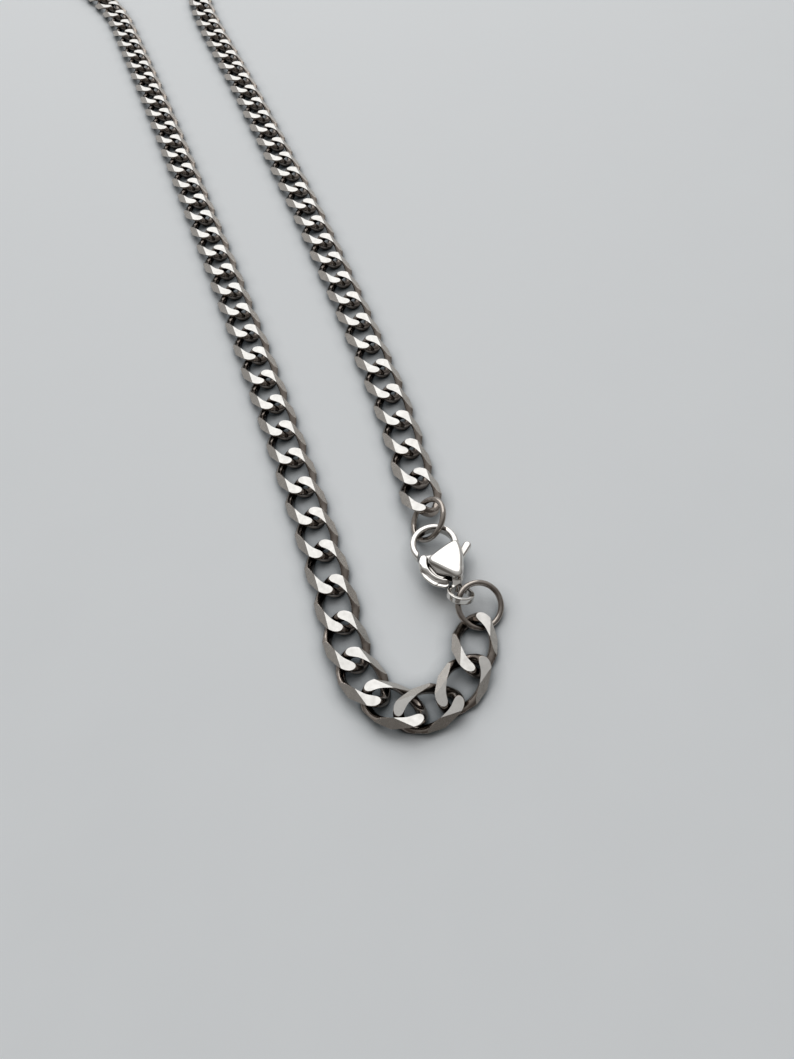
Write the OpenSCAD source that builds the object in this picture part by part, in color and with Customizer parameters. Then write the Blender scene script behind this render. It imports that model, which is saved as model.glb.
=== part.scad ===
/* [Link] */
// Diameter of the wire a link is bent from
wire_d = 1.5; // [1.3:0.05:1.7]
// Distance from link to link when the chain is pulled straight
link_pitch = 6.1; // [5.9:0.05:6.4]
// Width of the chain across its ground edges
chain_w = 6.1; // [5.6:0.05:6.6]
// Thickness of the chain between its ground flats
chain_t = 1.9; // [1.6:0.05:2.2]
// Width of the ground flat that runs along the top and the bottom
flat_w = 3.7; // [3:0.05:4.4]
// Wire ground away from each side of a link
side_cut = 0.25; // [0.1:0.05:0.4]
// Angle of the ground bevels to the flats
bevel_angle = 40; // [30:1:50]
// Twist of each end of a link against its middle
link_twist = 45; // [38:1:48]
// Squareness of the oval, 2 is an ellipse
oval_power = 2.3; // [2:0.05:2.6]

/* [Chain] */
// Slack between links where the chain lies free
lie_slack = 0.1; // [0.05:0.01:0.15]
// Distance from the clasp's end to the back of the neck
loop_end = 274.8; // [268:0.2:288]

/* [Jump rings] */
// Diameter of the jump rings' wire
ring_wire_d = 0.8; // [0.7:0.05:0.9]
// Outside diameter of a jump ring
ring_od = 6.8; // [6.5:0.05:7]

/* [Clasp] */
// Outside diameter of the clasp's hook
hook_od = 6.7; // [6.4:0.05:7]
// Width of the hook's bar seen from above
hook_bar_w = 0.85; // [0.7:0.05:1]
// Height of the hook's bar
hook_bar_h = 1.4; // [1.2:0.05:1.6]
// Distance from the eye's middle to the hook's middle
hook_reach = 8.7; // [8.6:0.05:8.8]
// Thickness of the clasp's belly at its crown
belly_t = 3; // [2.8:0.05:3.4]
// Outside diameter of the eye
eye_od = 3.7; // [3.6:0.05:3.8]
// Hole through the eye
eye_hole_d = 2.55; // [2.45:0.05:2.6]
// Height of the eye
eye_h = 0.9; // [0.8:0.05:1]
// Thickness of the lever
lever_t = 0.9; // [0.7:0.05:1.1]
// Diameter of the lever's pin
pin_d = 0.9; // [0.8:0.05:1.1]
// Slope of the clasp, whose eye lies higher on its ring than its hook
clasp_slope = 2.2; // [2:0.1:2.6]
// Lean of the eye out of the clasp's plane, towards its ring
eye_lean = 30.7; // [28:0.1:32]

/* [Hidden] */
$fn = 64;

// Clearances between neighbouring pieces
link_gap = 0.12;
lever_gap = 0.1;
pin_gap = 0.05;
pin_seat_gap = 0.02;

// Link form
wire_r = wire_d / 2;
half_t = chain_t / 2;
half_flat = flat_w / 2;
half_len = (link_pitch + wire_d + link_gap) / 2;
half_wid = chain_w / 2 + side_cut - wire_r;
link_sections = 12;
wire_sides = 6;
sections_turn = 360 / link_sections;
sides_turn = 360 / wire_sides;
step_angle = 0.5;

// Links of the lower bend, which lie slack, from the eye's ring on: x, y, bank and pitch
bend = [
    [10.19, 2.51, -7.4, -2.4], [6.7, -1.9, -10, 0], [1.6, -3.4, -6, 0], [-2.4, -1.6, 7, 0],
    [-4.9, 3.2, 7, 0], [-5.35, 8.8, 5, 0]
];
first_link_turn = 13.9;

// Bank and pitch of the last link, which the hook's ring lifts
last_link_lean = [1.8, -8.5];

// Route of the other links' middles: up the left strand, round the back of the neck and down the
// right strand to the hook's ring. The back's points lie before the loop's far end
left_strand = [
    [-4.9, 14.7], [-4.3, 26.5], [-4, 44], [-3.9, 62], [-4, 80], [-4.6, 116], [-5.4, 151],
    [-6.7, 187], [-8, 206]
];
back_bend = [
    [-13, -49.4], [-18.7, -33.8], [-20, -21.8], [-16, -10.3], [-7.4, -2.8], [3.6, 0],
    [14.6, -2.8], [23.2, -10.3], [27.2, -21.8], [26, -33.8], [20.8, -48.8]
];
right_strand = [
    [15.8, 210], [13.9, 192], [14.8, 155], [15.3, 118], [15.4, 100], [15.2, 82], [14.8, 64],
    [14, 45.4], [12, 27.55]
];
route = concat(left_strand, [for (p = back_bend) [p.x, loop_end + p.y]], right_strand);
route_steps = 12;

function signed_power(v, e) = sign(v) * pow(abs(v), e);

function lerp(a, b, f) = a + (b - a) * f;

function unit(v) = v / norm(v);

// Smooth curve through the route's points
function spline(a, b, c, d, f) =
    0.5 * (2 * b + (c - a) * f + (2 * a - 5 * b + 4 * c - d) * pow(f, 2)
        + (3 * b - a - 3 * c + d) * pow(f, 3));

last_point = len(route) - 1;

function route_at(i) = route[min(max(i, 0), last_point)];

path = [
    for (i = [0:last_point - 1], k = [0:route_steps - 1])
        spline(route_at(i - 1), route_at(i), route_at(i + 1), route_at(i + 2), k / route_steps),
    route[last_point]
];
path_end = len(path) - 1;
travel = [for (i = 0, s = 0; i <= path_end; s = s + norm(path_at(i + 1) - path[i]), i = i + 1) s];
route_len = travel[path_end];

function path_at(i) = path[min(max(i, 0), path_end)];

function stretch_of(s, lo = 0, hi = path_end) =
    hi - lo <= 1 ? lo : let (mid = floor((lo + hi) / 2)) travel[mid] <= s ? stretch_of(s, mid, hi)
        : stretch_of(s, lo, mid);

function place(s) =
    let (i = stretch_of(s)) lerp(path[i], path[i + 1], (s - travel[i]) / (travel[i + 1] - travel[i]));

// The bend's links lie where they are listed, and the others evenly along the route
even_links = ceil(route_len / (link_pitch - lie_slack));
even_pitch = route_len / even_links;
bend_links = len(bend);
link_count = bend_links + even_links + 1;
link_places = [
    for (b = bend) [b[0], b[1]],
    for (k = [0:even_links]) place(k * even_pitch)
];

// The row's origin, on the surface under the middle of the lying necklace
function middle_of(values) = (min(values) + max(values)) / 2;

origin = [middle_of([for (p = link_places) p.x]), middle_of([for (p = link_places) p.y])];

module from_origin() {
    translate([-origin.x, -origin.y, 0]) children();
}

function heading(k) =
    let (ahead = link_places[min(k + 1, link_count - 1)], behind = link_places[max(k - 1, 0)])
    atan2(ahead.y - behind.y, ahead.x - behind.x) + (k == 0 ? first_link_turn : 0);

function lean_of(k) =
    k < bend_links ? [bend[k][2], bend[k][3]] : k == link_count - 1 ? last_link_lean : [0, 0];

// Middle of the wire at an angle round the link, twisted along its length
function wire_middle(t) =
    let (
        along = signed_power(cos(t), 2 / oval_power),
        across = half_wid * signed_power(sin(t), 2 / oval_power),
        turn = -link_twist * along
    )
    [half_len * along, across * cos(turn), across * sin(turn)];

function wire_ring(t) =
    let (
        middle = wire_middle(t),
        along = unit(wire_middle(t + step_angle) - wire_middle(t - step_angle)),
        out = unit(middle - (middle * along) * along),
        side = cross(along, out)
    )
    [for (k = [0:wire_sides - 1])
        middle + wire_r * (cos((k + 0.5) * sides_turn) * out + sin((k + 0.5) * sides_turn) * side)];

// The ground faces: bevels first, then the flats
bevel_reach = half_flat * sin(bevel_angle) + half_t * cos(bevel_angle);

function bevelled(p) =
    let (over = abs(p.y) * sin(bevel_angle) + abs(p.z) * cos(bevel_angle) - bevel_reach)
    over <= 0 ? p
    : [p.x, p.y - sign(p.y) * over * sin(bevel_angle), p.z - sign(p.z) * over * cos(bevel_angle)];

function ground(p) = let (q = bevelled(p)) [q.x, q.y, min(max(q.z, -half_t), half_t)];

link_points = [
    for (i = [0:link_sections - 1])
        let (ring = wire_ring((i + 0.5) * sections_turn))
        for (p = ring) ground(p)
];
points_per_link = link_sections * wire_sides;

function link_face(base, i, j) =
    let (
        a = base + i * wire_sides + j,
        b = base + i * wire_sides + (j + 1) % wire_sides,
        c = base + (i + 1) % link_sections * wire_sides + (j + 1) % wire_sides,
        d = base + (i + 1) % link_sections * wire_sides + j
    )
    [[a, c, b], [a, d, c]];

function banked(p, bank) = [p.x, p.y * cos(bank) - p.z * sin(bank), p.y * sin(bank) + p.z * cos(bank)];

function pitched(p, pitch) =
    [p.x * cos(pitch) + p.z * sin(pitch), p.y, p.z * cos(pitch) - p.x * sin(pitch)];

function leaning(p, bank, pitch) = pitched(banked(p, bank), pitch);

function lowest(bank, pitch) = min([for (p = link_points) leaning(p, bank, pitch).z]);

function placed(p, at, turn) =
    [at.x + p.x * cos(turn) - p.y * sin(turn), at.y + p.x * sin(turn) + p.y * cos(turn), p.z];

// Links from one number to another, each a closed ring through its neighbours
module links(first, last) {
    points = [
        for (k = [first:last])
            let (at = link_places[k], turn = heading(k), bank = lean_of(k)[0], pitch = lean_of(k)[1])
            let (lift = [0, 0, -lowest(bank, pitch)])
            for (p = link_points) placed(leaning(p, bank, pitch) + lift, at, turn)
    ];
    faces = [
        for (k = [0:last - first], i = [0:link_sections - 1], j = [0:wire_sides - 1])
            for (f = link_face(k * points_per_link, i, j)) f
    ];
    polyhedron(points, faces);
}

half_count = floor(link_count / 2);

module chain_left() {
    color("silver") from_origin() links(0, half_count - 1);
}

module chain_right() {
    color("silver") from_origin() links(half_count, link_count - 1);
}

// Jump rings, each with its middle, its slope and the direction of its low side
ring_r = (ring_od - ring_wire_d) / 2;
eye_ring_at = [12.85, 7.2, 1.84];
eye_ring_tilt = 27.4;
eye_ring_low = 289;
hook_ring_at = [11.24, 22.13, 2.54];
hook_ring_tilt = 45;
hook_ring_low = 169.6;

module jump_ring(at, tilt, low) {
    from_origin() translate(at) rotate([0, tilt, low])
        rotate_extrude() translate([ring_r, 0]) circle(d = ring_wire_d);
}

module eye_ring() {
    color("silver") jump_ring(eye_ring_at, eye_ring_tilt, eye_ring_low);
}

module hook_ring() {
    color("silver") jump_ring(hook_ring_at, hook_ring_tilt, hook_ring_low);
}

// Clasp: its own origin is the eye's middle, Y runs to the hook, X to the thumb tab
clasp_at = [10.85, 9.02, 2.95];
eye_lean_to = 44;
hook_r = (hook_od - hook_bar_w) / 2;
hook_middle = [-0.4, hook_reach];
hook_tip_angle = 214;
hook_root_angle = -30;
hook_round_d = 1.5;
belly_root = [2.1, 7.1];
belly_side = [2.1, 5.7];
belly_left = [-1.45, 5.85];
belly_foot = [0.7, 3];
belly_skirt = [-1.1, 4.35];
belly_skirt_h = 1.25;
belly_corner_r = 0.8;
belly_crown_r = 0.35;
belly_edge_t = 2;
root_post_r = 0.55;
foot_post_r = 0.5;
neck_w = 1.3;
neck_h = 1.6;
neck_inset = 0.1;
neck_out = (eye_od - neck_w) / 2 - neck_inset;
neck_root = [neck_out * sin(eye_lean_to), neck_out * cos(eye_lean_to)];
neck_root_h = eye_h - 2 * neck_inset;
pivot = [0.5, 5.3];
slot_t = lever_t + 2 * lever_gap;
pin_sink = 0.5;
pin_len = slot_t + 2 * pin_sink;
lever_hub_r = 1.35;
gate_reach = 4.2;
gate_rim_in = 2.95;
gate_rim_h = 1.3;
gate_edge_h = 0.3;
gate_blade = [[-2.75, 7.1], [-3.2, 6.2], [-3.2, 4.4], [-2.45, 3]];
gate_foot = [-1.35, 2.3];
gate_edge_r = 0.5;
gate_ridge_r = 0.35;
gate_top = [[-2.7, 6.9], [-3.3, 6.3], [-2.4, 4.65], [-1.4, 3.25]];
tab_root = [1.8, 5.2];
tab_root_r = 0.5;
tab_tip = [3.8, 6.95];
tab_tip_r = 0.55;
cut_past = 1;
belly_reach = 4;

module at_clasp() {
    from_origin() translate(clasp_at) rotate([-clasp_slope, 0, 0]) children();
}

module disc(at, r, h) {
    translate(at) cylinder(r = r, h = h, center = true);
}

module hook_bar_section() {
    intersection() {
        square([hook_bar_w, hook_bar_h], center = true);
        circle(d = hook_round_d);
    }
}

// The tip is cut along the circle that the gate's rim turns on
module hook_bar() {
    difference() {
        translate(hook_middle) rotate([0, 0, hook_root_angle])
            rotate_extrude(angle = hook_tip_angle - hook_root_angle) translate([hook_r, 0])
                hook_bar_section();
        intersection() {
            disc(pivot, gate_reach + lever_gap, hook_bar_h + cut_past);
            translate([hook_middle.x - hook_od, 0, -hook_bar_h])
                cube([hook_od, hook_middle.y, 2 * hook_bar_h]);
        }
    }
}

// Discs at the four corners of the belly, whose wall slopes out over the gate
module belly_discs(r, h) {
    for (p = [belly_root, belly_side, belly_left, belly_foot])
        translate(p) cylinder(r = r, h = h, center = true, $fn = 32);
}

module belly() {
    hull() {
        belly_discs(belly_corner_r, belly_edge_t);
        belly_discs(belly_crown_r, belly_t);
        translate(belly_skirt) cylinder(r = belly_corner_r, h = belly_skirt_h, center = true, $fn = 32);
    }
}

// Room for the lever between the belly's two plates, with a post left at each end
module slot() {
    difference() {
        translate([0, pivot.y, 0]) cube([3 * belly_reach, 3 * belly_reach, slot_t], center = true);
        disc(belly_root, root_post_r, slot_t + cut_past);
        disc(belly_foot, foot_post_r, slot_t + cut_past);
    }
}

module eye_leant() {
    rotate([0, 0, eye_lean_to]) rotate([0, eye_lean, 0]) children();
}

// From the belly's foot to the eye's rim
module neck() {
    hull() {
        translate(belly_foot) cylinder(d = neck_w, h = neck_h, center = true, $fn = 32);
        eye_leant() translate(neck_root) cylinder(d = neck_w, h = neck_root_h, center = true, $fn = 32);
    }
}

module clasp_body() {
    color("silver") at_clasp() {
        hook_bar();
        difference() {
            belly();
            slot();
            disc(pivot, pin_d / 2 + pin_seat_gap, pin_len + 2 * pin_seat_gap);
        }
        difference() {
            union() {
                eye_leant() disc([0, 0], eye_od / 2, eye_h);
                neck();
            }
            eye_leant() disc([0, 0], eye_hole_d / 2, neck_h + cut_past);
        }
    }
}

module gate_discs(places, r, h) {
    for (p = places) translate(p) cylinder(r = r, h = h, center = true, $fn = 24);
}

// A blade that turns in the slot, with a taller rim outside the belly that slopes to its edge
module gate() {
    intersection() {
        union() {
            hull() {
                gate_discs(gate_blade, gate_edge_r, gate_edge_h);
                disc(pivot, lever_hub_r, lever_t);
            }
            difference() {
                hull() {
                    gate_discs(concat(gate_blade, [gate_foot]), gate_edge_r, gate_edge_h);
                    gate_discs(gate_top, gate_ridge_r, gate_rim_h);
                }
                disc(pivot, gate_rim_in, gate_rim_h + cut_past);
            }
        }
        disc(pivot, gate_reach, gate_rim_h + cut_past);
    }
}

module thumb_tab() {
    hull() {
        disc(tab_root, tab_root_r, lever_t);
        disc(tab_tip, tab_tip_r, lever_t);
    }
}

module clasp_lever() {
    color("silver") at_clasp() difference() {
        union() {
            gate();
            disc(pivot, lever_hub_r, lever_t);
            thumb_tab();
        }
        disc(pivot, pin_d / 2 + pin_gap, lever_t + cut_past);
    }
}

module clasp_pin() {
    color("silver") at_clasp() disc(pivot, pin_d / 2, pin_len);
}

chain_left();
chain_right();
eye_ring();
hook_ring();
clasp_body();
clasp_lever();
clasp_pin();
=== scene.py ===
# Curb chain necklace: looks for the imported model
import bpy
import bmesh
import math
import random
import numpy as np
from mathutils import Matrix, Vector

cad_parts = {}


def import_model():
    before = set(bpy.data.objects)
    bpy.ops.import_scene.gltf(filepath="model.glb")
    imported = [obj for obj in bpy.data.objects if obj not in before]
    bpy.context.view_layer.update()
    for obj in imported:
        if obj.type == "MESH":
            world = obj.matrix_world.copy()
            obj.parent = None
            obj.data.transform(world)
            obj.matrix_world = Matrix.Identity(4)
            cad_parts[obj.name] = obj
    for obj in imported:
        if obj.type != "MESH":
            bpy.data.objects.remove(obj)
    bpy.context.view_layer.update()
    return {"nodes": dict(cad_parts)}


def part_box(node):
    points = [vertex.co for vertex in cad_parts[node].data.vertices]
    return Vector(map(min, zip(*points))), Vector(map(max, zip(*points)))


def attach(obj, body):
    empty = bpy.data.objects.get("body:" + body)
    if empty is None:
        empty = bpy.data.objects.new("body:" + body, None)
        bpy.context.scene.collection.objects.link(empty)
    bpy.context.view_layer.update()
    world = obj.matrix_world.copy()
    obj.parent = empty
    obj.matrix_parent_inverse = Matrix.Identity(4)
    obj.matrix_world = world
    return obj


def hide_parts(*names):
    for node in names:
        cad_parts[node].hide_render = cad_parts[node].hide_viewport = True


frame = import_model()
NODES = frame["nodes"]
SCENE = bpy.context.scene
MM = 0.001
rng = random.Random(7)


# ---------------------------------------------------------------- link form
# Round wire along a twisted superellipse, ground flat on two faces and bevelled beside them
WIRE_R = 0.715 * MM
HALF_T = 0.95 * MM
HALF_FLAT = 1.85 * MM
HALF_LEN = 3.86 * MM
HALF_WID = 2.55 * MM
BEVEL = math.radians(40)
TWIST = math.radians(45)
POWER = 2.3
AROUND, SIDES = 72, 28
PATH_STEPS, PATH_AHEAD = 3600, 1e-3
CUT_REACH, WELD = 1e-8, 2e-7
WIRE, FLAT, EDGE = 0, 1, 2


def signed_power(v, e):
    return math.copysign(abs(v) ** e, v)


def wire_middle(t):
    """Point on the wire's middle line at angle t"""
    along = signed_power(math.cos(t), 2 / POWER)
    across = HALF_WID * signed_power(math.sin(t), 2 / POWER)
    turn = -TWIST * along
    return np.array([HALF_LEN * along, across * math.cos(turn), across * math.sin(turn)])


def link_tube():
    """The whole wire, its rings of corners spread evenly along it"""
    ts = np.linspace(0, 2 * math.pi, PATH_STEPS, endpoint=False)
    pts = np.array([wire_middle(t) for t in ts])
    seg = np.linalg.norm(np.roll(pts, -1, 0) - pts, axis=1)
    run = np.concatenate([[0], np.cumsum(seg)])
    at = np.interp((np.arange(AROUND) + 0.5) / AROUND * run[-1], run, np.append(ts, 2 * math.pi))
    verts = []
    for t in at:
        mid = wire_middle(t)
        ahead = wire_middle(t + PATH_AHEAD) - wire_middle(t - PATH_AHEAD)
        ahead /= np.linalg.norm(ahead)
        out = mid - mid.dot(ahead) * ahead
        out /= np.linalg.norm(out)
        side = np.cross(ahead, out)
        for k in range(SIDES):
            a = 2 * math.pi * (k + 0.5) / SIDES
            verts.append(mid + WIRE_R * (math.cos(a) * out + math.sin(a) * side))
    faces = []
    for i in range(AROUND):
        j = (i + 1) % AROUND
        for k in range(SIDES):
            m = (k + 1) % SIDES
            faces.append((i * SIDES + k, j * SIDES + k, j * SIDES + m, i * SIDES + m))
    return verts, faces


def ground_planes():
    """The two flat faces first, then the four bevels"""
    planes = [((0, 0, HALF_T), (0, 0, 1)), ((0, 0, -HALF_T), (0, 0, -1))]
    for sy in (1, -1):
        for sz in (1, -1):
            normal = (0, sy * math.sin(BEVEL), sz * math.cos(BEVEL))
            planes.append(((0, sy * HALF_FLAT, sz * HALF_T), normal))
    return planes


def link_mesh():
    """Corners, faces and each face's material of one ground link about its own middle"""
    verts, faces = link_tube()
    bm = bmesh.new()
    vs = [bm.verts.new(v) for v in verts]
    for f in faces:
        bm.faces.new([vs[i] for i in f])
    bmesh.ops.recalc_face_normals(bm, faces=bm.faces)
    for f in bm.faces:
        f.material_index = WIRE
    for n, (co, no) in enumerate(ground_planes()):
        everything = bm.verts[:] + bm.edges[:] + bm.faces[:]
        cut = bmesh.ops.bisect_plane(bm, geom=everything, plane_co=co, plane_no=no,
                                     clear_outer=True, dist=CUT_REACH)
        edges = [e for e in cut["geom_cut"] if isinstance(e, bmesh.types.BMEdge)]
        if edges:
            for f in bmesh.ops.holes_fill(bm, edges=edges, sides=0)["faces"]:
                f.material_index = FLAT if n < 2 else EDGE
    bmesh.ops.triangulate(bm, faces=[f for f in bm.faces if len(f.verts) > 4])
    bmesh.ops.remove_doubles(bm, verts=bm.verts, dist=WELD)
    bmesh.ops.recalc_face_normals(bm, faces=bm.faces)
    bm.verts.index_update()
    co = np.array([v.co[:] for v in bm.verts])
    fc = [tuple(v.index for v in f.verts) for f in bm.faces]
    mi = [f.material_index for f in bm.faces]
    bm.free()
    return co, fc, mi


# ---------------------------------------------------------------- links where the CAD has them
SAME_SPOT = 1e6
CUT_SPREAD = 900


def islands(ob):
    """Triangles of each separate solid in a node, corners on one spot taken as one"""
    me = ob.data
    co = np.zeros(len(me.vertices) * 3)
    me.vertices.foreach_get("co", co)
    co = co.reshape(-1, 3)
    key = {}
    spots = [tuple(np.round(c * SAME_SPOT).astype(int)) for c in co]
    same = np.array([key.setdefault(spot, i) for i, spot in enumerate(spots)])
    parent = list(range(len(co)))

    def root(i):
        while parent[i] != i:
            parent[i] = parent[parent[i]]
            i = parent[i]
        return i

    me.calc_loop_triangles()
    tris = [[same[v] for v in t.vertices] for t in me.loop_triangles]
    for a, b, c in tris:
        parent[root(a)] = root(c)
        parent[root(b)] = root(c)
    groups = {}
    for t in tris:
        groups.setdefault(root(t[0]), []).append(t)
    return [co[np.array(g)] for g in groups.values()]


def pose_of(tri):
    """Middle and principal axes of one closed island, from its volume"""
    vol = np.einsum("ij,ij->i", tri[:, 0], np.cross(tri[:, 1], tri[:, 2])) / 6
    mid = (tri.sum(1) / 4 * vol[:, None]).sum(0) / vol.sum()
    t = tri - mid
    vol = np.einsum("ij,ij->i", t[:, 0], np.cross(t[:, 1], t[:, 2])) / 6
    s = t.sum(1)
    cov = np.einsum("i,ij,ik->jk", vol, s, s)
    for k in range(3):
        cov += np.einsum("i,ij,ik->jk", vol, t[:, k], t[:, k])
    cov /= 20
    vec = np.linalg.eigh(cov)[1]
    x, y = vec[:, 2], vec[:, 1]
    if x[1] < 0:
        x = -x
    z = np.cross(x, y)
    if z[2] < 0:
        y, z = -y, -z
    return mid, np.stack([x, y, z], 1)


def chain_piece(name, node, link):
    """One link's mesh set at every link of a node, each with its own place on the cut's texture"""
    co, fc, mi = link
    verts, faces, mats, uvs = [], [], [], []
    flat_corners = np.array([v for f in fc for v in f])
    base = 0
    for tri in islands(NODES[node]):
        mid, axes = pose_of(tri)
        verts.append(co @ axes.T + mid)
        faces += [tuple(base + v for v in f) for f in fc]
        mats += mi
        shift = np.array([rng.uniform(0, CUT_SPREAD), rng.uniform(0, CUT_SPREAD)])
        uvs.append(co[flat_corners][:, :2] / MM + shift)
        base += len(co)
    me = bpy.data.meshes.new(name)
    me.from_pydata(np.concatenate(verts).tolist(), [], faces)
    me.polygons.foreach_set("material_index", mats)
    me.polygons.foreach_set("use_smooth", [m == WIRE for m in mats])
    layer = me.uv_layers.new(name="cut")
    layer.data.foreach_set("uv", np.concatenate(uvs).ravel())
    me.update()
    return dressed(me, (node,), "necklace")


# ---------------------------------------------------------------- smooth cast and rounded forms
SETTLE_TIMES, SLOPE_REACH, LEAST_SLOPE, MOST_MOVE = 4, 0.25, 0.2, 0.4


def net(field, low, high, step):
    """Even mesh of the surface where a field of x, y and z is zero, set exactly on it"""
    axes = [np.arange(a, b + step, step) for a, b in zip(low, high)]
    grid = np.meshgrid(*axes, indexing="ij")
    v = field(*grid)
    cells = tuple(n - 1 for n in v.shape)
    total, count = np.zeros(cells + (3,)), np.zeros(cells)

    def corner(i, j, k):
        return v[i:i + cells[0], j:j + cells[1], k:k + cells[2]]

    # A point for each cell that the surface crosses, in the middle of its edges' crossings
    for axis in range(3):
        for p in (0, 1):
            for q in (0, 1):
                at = [p, q]
                at.insert(axis, 0)
                a = corner(*at)
                end = list(at)
                end[axis] = 1
                b = corner(*end)
                hit = (a < 0) != (b < 0)
                f = np.where(hit, a / np.where(hit, a - b, 1), 0)
                spot = np.array(at, dtype=float)
                for c in range(3):
                    total[..., c] += np.where(hit, spot[c] + (f if c == axis else 0), 0)
                count += hit
    used = count > 0
    index = np.full(cells, -1)
    index[used] = np.arange(used.sum())
    base = np.stack(np.nonzero(used), 1)
    pts = (base + total[used] / count[used][:, None]) * step + np.array([a[0] for a in axes])
    # A quad round each grid edge that the surface crosses
    quads = []
    for axis in range(3):
        b, c = (axis + 1) % 3, (axis + 2) % 3
        n = [slice(1, -1)] * 3
        n[axis] = slice(0, -1)
        m = list(n)
        m[axis] = slice(1, None)
        here, there = v[tuple(n)] < 0, v[tuple(m)] < 0
        spots = np.stack(np.nonzero(here != there), 1)
        flip = there[here != there]
        spots = spots + np.array([0 if k == axis else 1 for k in range(3)])
        eb, ec = np.eye(3, dtype=int)[b], np.eye(3, dtype=int)[c]
        round_it = (eb + ec, ec, np.zeros(3, dtype=int), eb)
        quad = np.stack([index[tuple((spots - s).T)] for s in round_it], 1)
        quad[flip] = quad[flip][:, ::-1]
        quads.append(quad)
    for _ in range(SETTLE_TIMES):
        pts, normal = settle(field, pts, step)
    return pts, np.concatenate(quads), normal


def settle(field, pts, step):
    """Points moved towards the surface along its slope, and the surface's normals there"""
    h = step * SLOPE_REACH
    x, y, z = pts.T
    v = field(x, y, z)
    slopes = [field(x + h, y, z) - field(x - h, y, z),
              field(x, y + h, z) - field(x, y - h, z),
              field(x, y, z + h) - field(x, y, z - h)]
    g = np.stack(slopes, 1) / (2 * h)
    size = np.maximum(np.linalg.norm(g, axis=1), LEAST_SLOPE)[:, None]
    move = np.clip(v[:, None] / size, -MOST_MOVE * step, MOST_MOVE * step)
    return pts - move * g / size, g / size


def smin(a, b, k):
    """The smaller of two distances, blended where they differ by less than k"""
    h = np.maximum(k - np.abs(a - b), 0) / k
    return np.minimum(a, b) - h * h * k / 4


def smax(a, b, k):
    return -smin(-a, -b, k)


def disc_2d(x, y, at, r):
    return np.hypot(x - at[0], y - at[1]) - r


def capsule_2d(x, y, a, b, ra, rb):
    """Bar with round ends, from radius ra at a to rb at b"""
    dx, dy = b[0] - a[0], b[1] - a[1]
    f = np.clip(((x - a[0]) * dx + (y - a[1]) * dy) / (dx * dx + dy * dy), 0, 1)
    return np.hypot(x - a[0] - f * dx, y - a[1] - f * dy) - (ra + f * (rb - ra))


def polygon_2d(x, y, pts):
    """Signed distance to a polygon, negative inside"""
    pts = np.array(pts, dtype=float)
    d = np.full(x.shape, 1e9)
    inside = np.ones(x.shape, dtype=bool)
    area = sum(a[0] * b[1] - a[1] * b[0] for a, b in zip(pts, np.roll(pts, -1, 0)))
    for a, b in zip(pts, np.roll(pts, -1, 0)):
        e = b - a
        f = np.clip(((x - a[0]) * e[0] + (y - a[1]) * e[1]) / e.dot(e), 0, 1)
        d = np.minimum(d, np.hypot(x - a[0] - f * e[0], y - a[1] - f * e[1]))
        inside &= (e[0] * (y - a[1]) - e[1] * (x - a[0])) * area > 0
    return np.where(inside, -d, d)


def hull_2d(x, y, discs):
    """Outline round discs of x, y and radius, listed in order"""
    d = polygon_2d(x, y, [p[:2] for p in discs])
    for a, b in zip(discs, discs[1:] + discs[:1]):
        d = np.minimum(d, capsule_2d(x, y, a, b, a[2], b[2]))
    return d


def slab(d2, dz, r):
    """Plate with its outline at distance d2 and its faces at dz, its edges rounded by r"""
    a, b = d2 + r, dz + r
    return np.minimum(np.maximum(a, b), 0) + np.hypot(np.maximum(a, 0), np.maximum(b, 0)) - r


# ---------------------------------------------------------------- clasp, in its own millimetres
# The eye's middle is zero, Y runs to the hook and X to the thumb tab. ROUND is an edge's radius
# and BLEND a fillet's reach
CLASP_SLOPE = math.radians(2.2)
PIVOT = (0.5, 5.3)

HOOK_AT, HOOK_R, HOOK_W, HOOK_H, HOOK_ROUND = (-0.4, 8.7), 2.925, 0.85, 1.4, 0.32
HOOK_ROOT, HOOK_TIP, HOOK_SPLIT = math.radians(-30), math.radians(214), math.radians(-100)
ROOT_SPAN, ROOT_WIDER, TIP_ROUND = 0.9, 0.12, 0.12

BELLY = [(2.1, 7.1), (-1.45, 5.85), (0.7, 3.0), (2.1, 5.7)]
BELLY_R, BELLY_EDGE, BELLY_CROWN, BELLY_ROUND = 0.8, 1.0, 1.5, 0.2
LEVEL_STEEP, LEVEL_MOST, LEVEL_SOFT = 2.1, 1.25, 0.1
DOME, DOME_AT = 0.013, (0.2, 6.9)
SKIRT = [(-1.45, 5.85, 0.8), (-1.1, 4.35, 0.8), (0.7, 3.0, 0.8)]
SKIRT_FALL, SKIRT_ROUND, SKIRT_BLEND = 0.6, 0.12, 0.45
SLOT_HALF, SLOT_ROUND, ROOT_POST, FOOT_POST = 0.55, 0.14, 0.55, 0.5
SEAT_R, SEAT_HALF = 0.47, 1.07

NECK_LOW, NECK_HALF_W = (-0.077, 1.026, -0.390), 0.65
NECK_HALF_H, NECK_THINS, NECK_ROUND = 0.8, 0.4, 0.25
EYE_TO, EYE_LEAN = math.radians(44), math.radians(30.7)
EYE_R, EYE_HALF_W, EYE_HALF_H, EYE_ROUND = 1.5625, 0.2875, 0.45, 0.14
EYE_HOLE_R, EYE_HOLE_HALF, EYE_HOLE_ROUND = 1.275, 1.3, 0.06
HOOK_BLEND, NECK_BLEND, EYE_BLEND = 0.45, 0.35, 0.3

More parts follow.
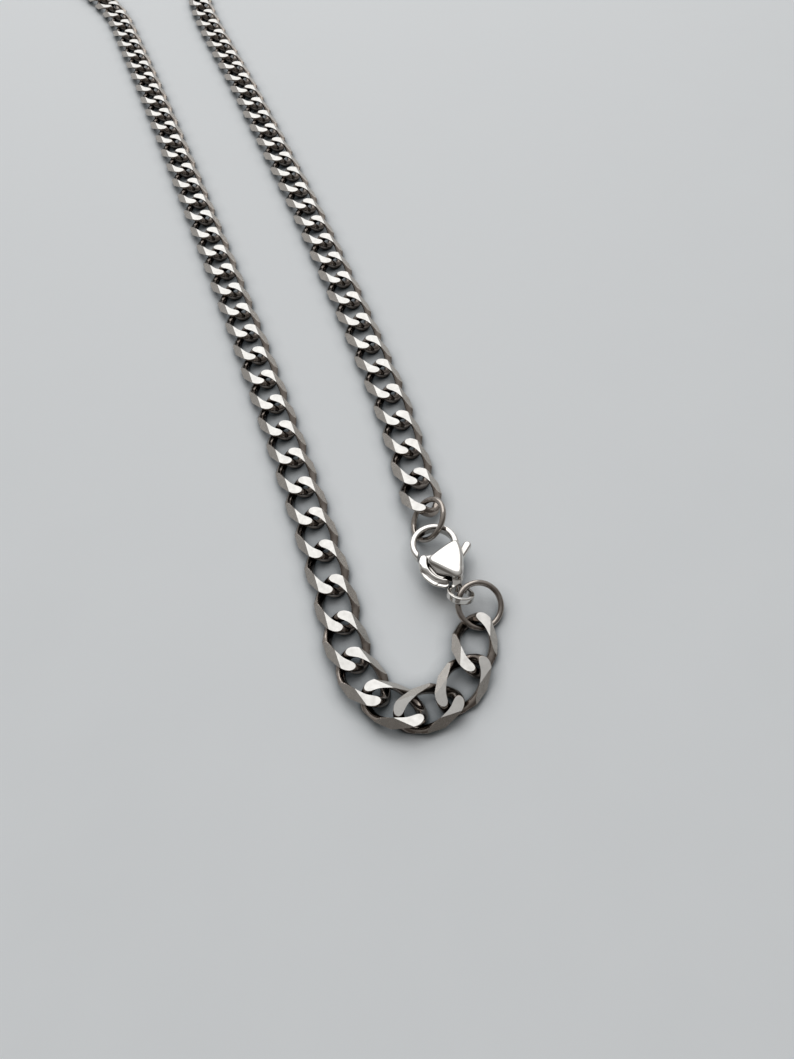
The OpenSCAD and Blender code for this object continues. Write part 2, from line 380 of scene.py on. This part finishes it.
GATE = [(-2.75, 7.1), (-3.2, 6.2), (-3.2, 4.4), (-2.45, 3.0), (-1.35, 2.3)]
GATE_R, GATE_REACH, HUB_R = 0.5, 4.2, 1.35
EDGE_HALF, BLADE_ROUND, REACH_ROUND = 0.15, 0.12, 0.2
RIM_IN, RIM_HALF, RIM_SLIM, RIM_LEAN = 2.95, 0.65, 0.12, 0.45
RIM_ROUND, RIM_SOFTER, RIM_BLEND, RIM_IN_ROUND = 0.12, 0.14, 0.13, 0.1
CREST_R, CREST_WIDER, CREST_ROUND, CREST_LEAST = 3.15, 0.95, 0.3, 0.01
HEAD_TURN, HEAD_FADE, HEAD_CORNER, HEAD_END = 163, 18, 10.1, 7.25
HEAD_FROM, HEAD_TO = 4.2, 5.6
TAB_ROOT, TAB_TIP, TAB_ROUND, TAB_BLEND = (1.8, 5.2, 0.5), (3.8, 6.95, 0.55), 0.3, 0.3
LEVER_HALF, LEVER_HOLE_R, LEVER_HOLE_ROUND, LEVER_GAP = 0.45, 0.5, 0.04, 0.1


def hook_field(x, y, z):
    """Bar round the hook's middle, its tip cut clear of the gate's swing"""
    dx, dy = x - HOOK_AT[0], y - HOOK_AT[1]
    a = np.arctan2(dy, dx)
    a = np.where(a < HOOK_SPLIT, a + 2 * math.pi, a)
    c = np.clip(a, HOOK_ROOT, HOOK_TIP)
    off = np.hypot(dx - HOOK_R * np.cos(c), dy - HOOK_R * np.sin(c))
    root = np.clip((HOOK_ROOT + ROOT_SPAN - c) / ROOT_SPAN, 0, 1) ** 2
    bar = slab(off - HOOK_W / 2 - ROOT_WIDER * root, np.abs(z) - HOOK_H / 2, HOOK_ROUND)
    swept = np.maximum(disc_2d(x, y, PIVOT, GATE_REACH + LEVER_GAP), np.maximum(dx, dy))
    return smax(bar, -swept, TIP_ROUND)


def belly_field(x, y, z):
    """Domed triangular plate with its skirt, the slot between its posts and the pin's seat"""
    d2 = polygon_2d(x, y, BELLY) - BELLY_R
    level = 0
    for a, b in zip(BELLY, BELLY[1:] + BELLY[:1]):
        ex, ey = b[0] - a[0], b[1] - a[1]
        side = (ey * (x - a[0]) - ex * (y - a[1])) / math.hypot(ex, ey)
        level = level + np.exp(LEVEL_STEEP * (side - BELLY_R))
    level = np.minimum(level, LEVEL_MOST)
    fall = BELLY_CROWN - BELLY_EDGE - LEVEL_SOFT
    top = BELLY_CROWN - LEVEL_SOFT * level - fall * level ** 4
    top = top - DOME * ((x - DOME_AT[0]) ** 2 + (y - DOME_AT[1]) ** 2)
    body = slab(d2, np.abs(z) - top, BELLY_ROUND)
    skirt_dz = np.abs(z) - BELLY_EDGE + SKIRT_FALL * np.maximum(d2, 0)
    skirt = slab(hull_2d(x, y, SKIRT), skirt_dz, SKIRT_ROUND)
    body = smin(body, skirt, SKIRT_BLEND)
    posts = np.minimum(disc_2d(x, y, BELLY[0], ROOT_POST), disc_2d(x, y, BELLY[2], FOOT_POST))
    slot = np.maximum(np.abs(z) - SLOT_HALF, -posts)
    seat = np.maximum(disc_2d(x, y, PIVOT, SEAT_R), np.abs(z) - SEAT_HALF)
    return np.maximum(smax(body, -slot, SLOT_ROUND), -seat)


def neck_field(x, y, z):
    """Bar from the belly's foot down to the eye's rim, thinner on the way"""
    a, b = np.array([*BELLY[2], 0]), np.array(NECK_LOW)
    e = b - a
    f = np.clip(((x - a[0]) * e[0] + (y - a[1]) * e[1]) / (e[0] ** 2 + e[1] ** 2), 0, 1)
    off = np.hypot(x - a[0] - f * e[0], y - a[1] - f * e[1])
    half_h = NECK_HALF_H - NECK_THINS * f
    return slab(off - NECK_HALF_W, np.abs(z - f * e[2]) - half_h, NECK_ROUND)


def clasp_field(x, y, z):
    """Hook, belly, neck and leaning eye in one"""
    u = x * math.cos(EYE_TO) + y * math.sin(EYE_TO)
    v = y * math.cos(EYE_TO) - x * math.sin(EYE_TO)
    w = z * math.cos(EYE_LEAN) + u * math.sin(EYE_LEAN)
    u = u * math.cos(EYE_LEAN) - z * math.sin(EYE_LEAN)
    rho = np.hypot(u, v)
    eye = slab(np.abs(rho - EYE_R) - EYE_HALF_W, np.abs(w) - EYE_HALF_H, EYE_ROUND)
    hole = np.maximum(rho - EYE_HOLE_R, np.abs(w) - EYE_HOLE_HALF)
    body = smin(hook_field(x, y, z), belly_field(x, y, z), HOOK_BLEND)
    body = smin(body, neck_field(x, y, z), NECK_BLEND)
    return smax(smin(body, eye, EYE_BLEND), -hole, EYE_HOLE_ROUND)


def lever_field(x, y, z):
    """Gate with its thin blade and thick rim, hub and thumb tab, bored for the pin"""
    dx, dy = x - PIVOT[0], y - PIVOT[1]
    from_pivot = np.hypot(dx, dy)
    reach = from_pivot - GATE_REACH
    edge = [(*p, GATE_R) for p in GATE]
    blade = smax(hull_2d(x, y, edge[:4] + [(*PIVOT, HUB_R)]), reach, REACH_ROUND)
    out = np.clip((from_pivot - HUB_R) / (GATE_REACH - HUB_R), 0, 1)
    thin = LEVER_HALF - (LEVER_HALF - EDGE_HALF) * out
    # The rim's crest runs round the pivot and widens at the gate's head
    turn = np.degrees(np.arctan2(dy, dx)) % 360
    wider = CREST_WIDER * np.exp(-np.maximum(turn - HEAD_TURN, 0) / HEAD_FADE)
    crest = from_pivot - CREST_R - wider
    crest = smax(crest, (y - x - HEAD_CORNER) / math.sqrt(2), CREST_ROUND)
    crest = smax(crest, y - HEAD_END, CREST_ROUND)
    outline = smax(hull_2d(x, y, edge) - RIM_SLIM, reach, CREST_ROUND)
    fall = np.clip(crest / np.maximum(crest - outline, CREST_LEAST), 0, 1) ** 2
    head = np.clip((y - HEAD_FROM) / (HEAD_TO - HEAD_FROM), 0, 1)
    lean = RIM_LEAN * (1 - head * head * (3 - 2 * head)) * np.maximum(from_pivot - RIM_IN, 0)
    top = np.maximum(RIM_HALF - (RIM_HALF - EDGE_HALF) * fall - lean, EDGE_HALF)
    rim = smax(outline, RIM_IN - from_pivot, RIM_IN_ROUND)
    rim = slab(rim, np.abs(z) - top, RIM_ROUND + RIM_SOFTER * (1 - fall))
    tab = capsule_2d(x, y, TAB_ROOT, TAB_TIP, TAB_ROOT[2], TAB_TIP[2])
    tab = slab(tab, np.abs(z) - LEVER_HALF, TAB_ROUND)
    lever = smin(slab(blade, np.abs(z) - thin, BLADE_ROUND), tab, TAB_BLEND)
    lever = smin(lever, rim, RIM_BLEND)
    return smax(lever, -disc_2d(x, y, PIVOT, LEVER_HOLE_R), LEVER_HOLE_ROUND)


def from_clasp(pts):
    """Clasp millimetres to the frame's metres, by the pin that the CAD puts at the pivot"""
    c, s = math.cos(CLASP_SLOPE), math.sin(CLASP_SLOPE)
    turn = np.array([[1, 0, 0], [0, c, s], [0, -s, c]])
    low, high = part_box("clasp_pin")
    pin = (np.array(low) + np.array(high)) / 2
    return pts @ turn.T * MM + pin - turn @ np.array([*PIVOT, 0]) * MM, turn


def cast_piece(name, node, body, field, low, high, step):
    """A field's surface inside the box low to high, in clasp millimetres"""
    pts, quads, normal = net(field, low, high, step)
    world_pts, turn = from_clasp(pts)
    me = bpy.data.meshes.new(name)
    me.from_pydata(world_pts.tolist(), [], quads.tolist())
    me.polygons.foreach_set("use_smooth", [True] * len(me.polygons))
    me.normals_split_custom_set_from_vertices((normal @ turn.T).tolist())
    me.update()
    return dressed(me, (node,), body)


def dressed(me, nodes, body):
    """Object that takes the nodes' place and rides their body"""
    ob = bpy.data.objects.new(me.name, me)
    SCENE.collection.objects.link(ob)
    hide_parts(*nodes)
    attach(ob, body)
    return ob


# ---------------------------------------------------------------- jump rings
RING_R, RING_WIRE_R = 3.0 * MM, 0.4 * MM
RING_AROUND, RING_SIDES = 240, 24
SEAM_HALF, SEAM_SPAN, SEAM_UP, SEAM_DOWN, SEAM_THINNER = 0.012, 0.06, 0.05, 0.04, 0.06


def ring_piece(name, node, seam_to):
    """Round wire bent to a ring, its cut ends a hair apart and a little out of line"""
    mid, axes = pose_of(islands(NODES[node])[0])
    up = axes[:, 2]
    x = np.array(seam_to, dtype=float)
    x -= x.dot(up) * up
    x /= np.linalg.norm(x)
    y = np.cross(up, x)
    verts, faces = [], []
    for i in range(RING_AROUND):
        f = i / (RING_AROUND - 1)
        a = SEAM_HALF + f * (2 * math.pi - 2 * SEAM_HALF)
        out = math.cos(a) * x + math.sin(a) * y
        end = max(0.0, 1 - min(f, 1 - f) / SEAM_SPAN) ** 2
        lean = end * (SEAM_UP if f < 0.5 else -SEAM_DOWN) * MM
        r = RING_WIRE_R * (1 - SEAM_THINNER * (i in (0, RING_AROUND - 1)))
        for k in range(RING_SIDES):
            b = 2 * math.pi * k / RING_SIDES
            verts.append(mid + (RING_R + r * math.cos(b)) * out + (lean + r * math.sin(b)) * up)
    for i in range(RING_AROUND - 1):
        here, there = i * RING_SIDES, (i + 1) * RING_SIDES
        for k in range(RING_SIDES):
            m = (k + 1) % RING_SIDES
            faces.append((here + k, there + k, there + m, here + m))
    last = (RING_AROUND - 1) * RING_SIDES
    faces.append(tuple(range(RING_SIDES)))
    faces.append(tuple(last + k for k in reversed(range(RING_SIDES))))
    me = bpy.data.meshes.new(name)
    me.from_pydata([tuple(v) for v in verts], [], faces)
    me.polygons.foreach_set("use_smooth", [len(f) == 4 for f in faces])
    me.update()
    return dressed(me, (node,), "necklace")


# ---------------------------------------------------------------- materials
DING = 0.015
CUT_TURN, CUT_STRETCH, CUT_LINES = math.radians(62), 14.0, 1.6


def fill_ramp(ramp, stops):
    """Colours of a ramp, listed as position and colour from low to high"""
    els = ramp.color_ramp.elements
    els[0].position, els[0].color = stops[0][0], (*stops[0][1], 1)
    els[1].position, els[1].color = stops[-1][0], (*stops[-1][1], 1)
    for p, c in stops[1:-1]:
        els.new(p).color = (*c, 1)


class Nodes:
    """One material's node tree, metal unless told otherwise"""

    def __init__(self, name):
        self.mat = bpy.data.materials.new(name)
        self.mat.use_nodes = True
        self.tree = self.mat.node_tree
        self.bsdf = self.tree.nodes["Principled BSDF"]
        self.bsdf.inputs["Metallic"].default_value = 1.0

    def add(self, kind, ins=None, **props):
        n = self.tree.nodes.new(kind)
        for k, v in props.items():
            setattr(n, k, v)
        for k, v in (ins or {}).items():
            if isinstance(v, bpy.types.NodeSocket):
                self.tree.links.new(v, n.inputs[k])
            else:
                n.inputs[k].default_value = v
        return n

    def link(self, out, name):
        self.tree.links.new(out, self.bsdf.inputs[name])

    def ramp(self, fac, stops):
        r = self.add("ShaderNodeValToRGB", {"Fac": fac})
        fill_ramp(r, stops)
        return r.outputs["Color"]

    def span(self, value, a, b, lo, hi):
        ins = {"Value": value, "From Min": a, "From Max": b, "To Min": lo, "To Max": hi}
        return self.add("ShaderNodeMapRange", ins).outputs["Result"]

    def noise(self, where, scale, detail, rough=0.5):
        ins = {"Vector": where, "Scale": scale, "Detail": detail, "Roughness": rough}
        return self.add("ShaderNodeTexNoise", ins).outputs["Fac"]

    def bump(self, height, strength, distance):
        ins = {"Height": height, "Strength": strength, "Distance": distance}
        self.link(self.add("ShaderNodeBump", ins).outputs["Normal"], "Normal")

    def painted_nook_shade(self, colour, reach, deep, dark, open_at):
        """Painted shade: colour darkened where other surfaces lie close"""
        near = self.add("ShaderNodeAmbientOcclusion", {"Distance": reach}, samples=6).outputs["AO"]
        depth = self.ramp(near, [(deep, dark), (open_at, (1.0, 1.0, 1.0))])
        tint = self.add("ShaderNodeMix", data_type="RGBA", blend_type="MULTIPLY")
        tint.inputs["Factor"].default_value = 1.0
        self.tree.links.new(colour, tint.inputs["A"])
        self.tree.links.new(depth, tint.inputs["B"])
        return tint.outputs["Result"]


def polished(name, light, dark, rough, smear, nook_shade_reach):
    """Drawn and tumbled steel: faint cloudy stains, tiny dings, and painted shade darkening it
    where other surfaces lie close
    """
    m = Nodes(name)
    pos = m.add("ShaderNodeTexCoord").outputs["Object"]
    cloud = m.noise(pos, smear, 4.0, 0.6)
    colour = m.ramp(cloud, [(0.3, dark), (0.7, light)])
    # Painted shade: the colour darkens in crevices, where other surfaces lie within the reach
    m.link(m.painted_nook_shade(colour, nook_shade_reach, 0.25, (0.10, 0.08, 0.07), 0.85), "Base Color")
    fine = m.noise(pos, smear * 3, 3.0, 0.7)
    m.link(m.span(fine, 0.3, 0.75, rough * 0.7, rough * 2.1), "Roughness")
    m.bump(fine, DING, 0.0001)
    return m.mat


def ground(name, light, dark, rough):
    """Steel cut flat on a wheel: fine parallel lines across each face, each link its own"""
    m = Nodes(name)
    uv = m.add("ShaderNodeUVMap", uv_map="cut").outputs["UV"]
    along = {"Vector": uv, "Rotation": (0, 0, CUT_TURN), "Scale": (1.0, CUT_STRETCH, 1.0)}
    lines = m.noise(m.add("ShaderNodeMapping", along).outputs["Vector"], CUT_LINES, 5.0, 0.75)
    cloud = m.noise(uv, 1.1, 4.0, 0.65)
    both = m.add("ShaderNodeMix", {"Factor": 0.45, "A": cloud, "B": lines}).outputs["Result"]
    m.link(m.ramp(both, [(0.32, dark), (0.62, light)]), "Base Color")
    m.link(m.span(both, 0.3, 0.7, rough * 1.25, rough * 0.8), "Roughness")
    m.bump(lines, 0.12, 0.00002)
    return m.mat


# The wire's colour is the steel's own tone, set darker and browner than the flats' as a painted
# dark, brown reflection of the room
WIRE_MAT = polished("wire_steel", (0.38, 0.34, 0.305), (0.235, 0.20, 0.175), 0.10, 900.0, 0.0016)
FLAT_MAT = ground("flat_steel", (0.55, 0.54, 0.52), (0.42, 0.41, 0.39), 0.30)
EDGE_MAT = ground("bevel_steel", (0.60, 0.57, 0.53), (0.43, 0.405, 0.375), 0.27)
# The rings' colour is likewise the steel's own tone, darkened and browned as a painted dark, brown
# reflection of the room
RING_MAT = polished("ring_steel", (0.46, 0.42, 0.385), (0.28, 0.247, 0.22), 0.09, 700.0, 0.0012)
CLASP_MAT = polished("clasp_steel", (0.72, 0.70, 0.67), (0.62, 0.60, 0.57), 0.06, 350.0, 0.0014)

# ---------------------------------------------------------------- the pieces
link = link_mesh()
for name, node in (("links_left", "chain_left"), ("links_right", "chain_right")):
    ob = chain_piece(name, node, link)
    for m in (WIRE_MAT, FLAT_MAT, EDGE_MAT):
        ob.data.materials.append(m)
eye = ring_piece("eye_jump_ring", "eye_ring", (0.25, -1, 0))
hook = ring_piece("hook_jump_ring", "hook_ring", (-0.4, 0.92, 0))
for ob in (eye, hook):
    ob.data.materials.append(RING_MAT)
# The low corners are set so that no edge of either mesh is pinched
body = cast_piece("clasp_casting", "clasp_body", "necklace",
                  clasp_field, (-4.236, -2.307, -2.127), (3.4, 12.5, 2.1), 0.065)
lever = cast_piece("clasp_gate", "clasp_lever", "lever",
                   lever_field, (-4.117, 1.489, -0.911), (4.7, 8.0, 0.9), 0.05)
for ob in (body, lever):
    ob.data.materials.append(CLASP_MAT)
NODES["clasp_pin"].data.materials.clear()
NODES["clasp_pin"].data.materials.append(CLASP_MAT)


# ---------------------------------------------------------------- floor, light and camera
# The camera's own frame is the photograph's, in millimetres, with the pin's middle at PIN_AT
PIN_AT = (11.35, 14.3161)
CAMERA_AT = (-7.94, -38.20, 95.94)
PAN, DIP, ROLL = math.radians(13.5), math.radians(56.37), math.radians(7.19)
LENS, SENSOR = 27.06, 36
ROOM_NORTH = (0.1, 0.72, 0.68)
ROOM = [(0.0, (0.14, 0.131, 0.124)), (0.35, (0.30, 0.294, 0.288)),
        (0.7, (0.54, 0.535, 0.53)), (1.0, (0.78, 0.79, 0.81))]


def floor():
    """Plain pale table, with painted contact shadow darkening it close round what lies on it"""
    bpy.ops.mesh.primitive_plane_add(size=6, location=(0, 0, 0))
    ob = bpy.context.object
    ob.name = "floor"
    m = Nodes("floor")
    m.bsdf.inputs["Metallic"].default_value = 0.0
    pos = m.add("ShaderNodeTexCoord").outputs["Object"]
    grain = m.noise(pos, 60.0, 3.0)
    pale = m.ramp(grain, [(0.3, (0.82, 0.85, 0.87)), (0.7, (0.84, 0.87, 0.89))])
    # Painted contact shadow round what lies on the table
    m.link(m.painted_nook_shade(pale, 0.0028, 0.35, (0.14, 0.17, 0.19), 0.95), "Base Color")
    m.link(m.span(grain, 0.3, 0.7, 0.6, 0.7), "Roughness")
    ob.data.materials.append(m.mat)


def softbox(name, at, target, size, power, tint):
    """Rectangular lamp that faces a target"""
    lamp = bpy.data.lights.new(name, "AREA")
    lamp.energy = power
    lamp.color = tint
    lamp.shape = "RECTANGLE"
    lamp.size, lamp.size_y = size
    ob = bpy.data.objects.new(name, lamp)
    ob.location = at
    ob.rotation_euler = (Vector(target) - Vector(at)).to_track_quat("-Z", "Y").to_euler()
    SCENE.collection.objects.link(ob)


def world():
    """A dim room, paler to the north and overhead, warm and dark behind the camera"""
    w = bpy.data.worlds.new("room")
    w.use_nodes = True
    tree = w.node_tree
    where = tree.nodes.new("ShaderNodeTexCoord")
    north = tree.nodes.new("ShaderNodeVectorMath")
    north.operation = "DOT_PRODUCT"
    north.inputs[1].default_value = ROOM_NORTH
    tree.links.new(where.outputs["Generated"], north.inputs[0])
    ramp = tree.nodes.new("ShaderNodeValToRGB")
    tree.links.new(north.outputs["Value"], ramp.inputs["Fac"])
    fill_ramp(ramp, ROOM)
    tree.links.new(ramp.outputs["Color"], tree.nodes["Background"].inputs["Color"])
    SCENE.world = w


def camera():
    """At the photograph's place: 96 mm up, looking 56 degrees down along the strands"""
    low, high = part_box("clasp_pin")
    origin = [PIN_AT[k] - (low[k] + high[k]) / 2 / MM for k in (0, 1)] + [0]
    ahead = np.array([math.sin(PAN) * math.cos(DIP), math.cos(PAN) * math.cos(DIP),
                      -math.sin(DIP)])
    level = np.array([math.cos(PAN), -math.sin(PAN), 0.0])
    under = np.cross(ahead, level)
    right = math.cos(ROLL) * level + math.sin(ROLL) * under
    down = -math.sin(ROLL) * level + math.cos(ROLL) * under
    at = (np.array(CAMERA_AT) - np.array(origin)) * MM
    columns = (right, -down, -ahead, at)
    cam = bpy.data.cameras.new("camera")
    cam.lens = LENS
    cam.sensor_width = SENSOR
    cam.clip_start, cam.clip_end = 0.005, 20
    ob = bpy.data.objects.new("camera", cam)
    ob.matrix_world = Matrix([[c[k] for c in columns] for k in range(3)] + [[0, 0, 0, 1]])
    SCENE.collection.objects.link(ob)
    SCENE.camera = ob


floor()
world()
softbox("north_sky", (0.2, 0.87, 0.95), (0, 0, 0), (1.4, 1.6), 8.6, (1, 0.995, 0.98))
camera()

SCENE.view_settings.view_transform = "Standard"
